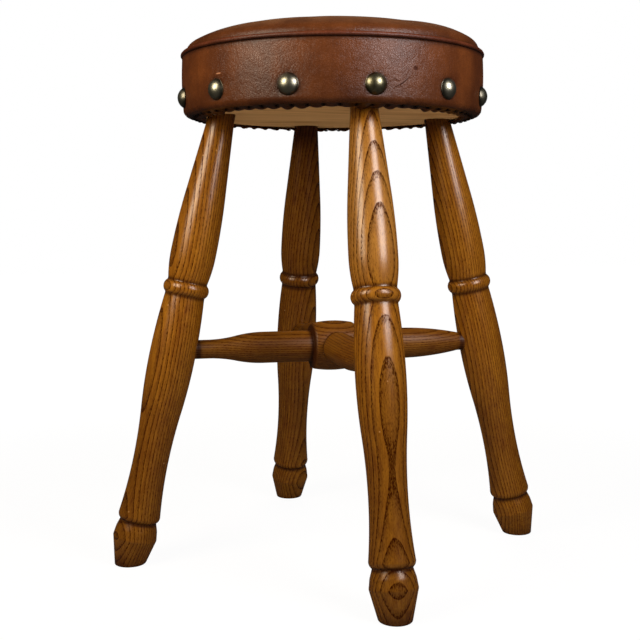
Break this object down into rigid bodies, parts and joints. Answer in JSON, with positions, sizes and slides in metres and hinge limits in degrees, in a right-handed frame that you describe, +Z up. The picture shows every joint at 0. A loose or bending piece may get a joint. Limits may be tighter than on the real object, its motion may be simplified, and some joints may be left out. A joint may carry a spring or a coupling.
{
  "type": "upholstered stool",
  "caption": "Round backless stool for sitting: a crowned leather-covered seat with piped edge and brass dome nails, on splayed turned wooden legs tied by a cross stretcher.",
  "frame": {"origin": "on the floor, under the middle of the seat", "axes": "+Z up through the middle of the seat; X along the long stretcher, with legs at +X and -X; -Y towards the front leg"},
  "size_m": [0.4984, 0.4984, 0.5818],
  "materials": {
    "turned_ash": "gloss",
    "wedge_wood": "satin",
    "pine_board": "matte",
    "saddle_leather": "satin",
    "piping_leather": "satin",
    "upholstery_foam": "matte",
    "cotton_wadding": "matte",
    "cotton_cord": "matte",
    "antique_brass": "polished",
    "blued_steel": "satin"
  },
  "bodies": {
    "root": {"seat_board": "pine_board", "seat_foam": "upholstery_foam", "seat_wadding": "cotton_wadding", "leather_top": "saddle_leather", "leather_band": "saddle_leather", "piping_cover": "piping_leather", "piping_cord": "cotton_cord", "dome_nails": "antique_brass", "hem_tacks": "blued_steel", "long_stretcher": "turned_ash", "front_stretcher": "turned_ash", "back_stretcher": "turned_ash", "leg_right": "turned_ash", "leg_back": "turned_ash", "leg_left": "turned_ash", "leg_front": "turned_ash", "wedge_right": "wedge_wood", "wedge_back": "wedge_wood", "wedge_left": "wedge_wood", "wedge_front": "wedge_wood"}
  },
  "joints": []
}
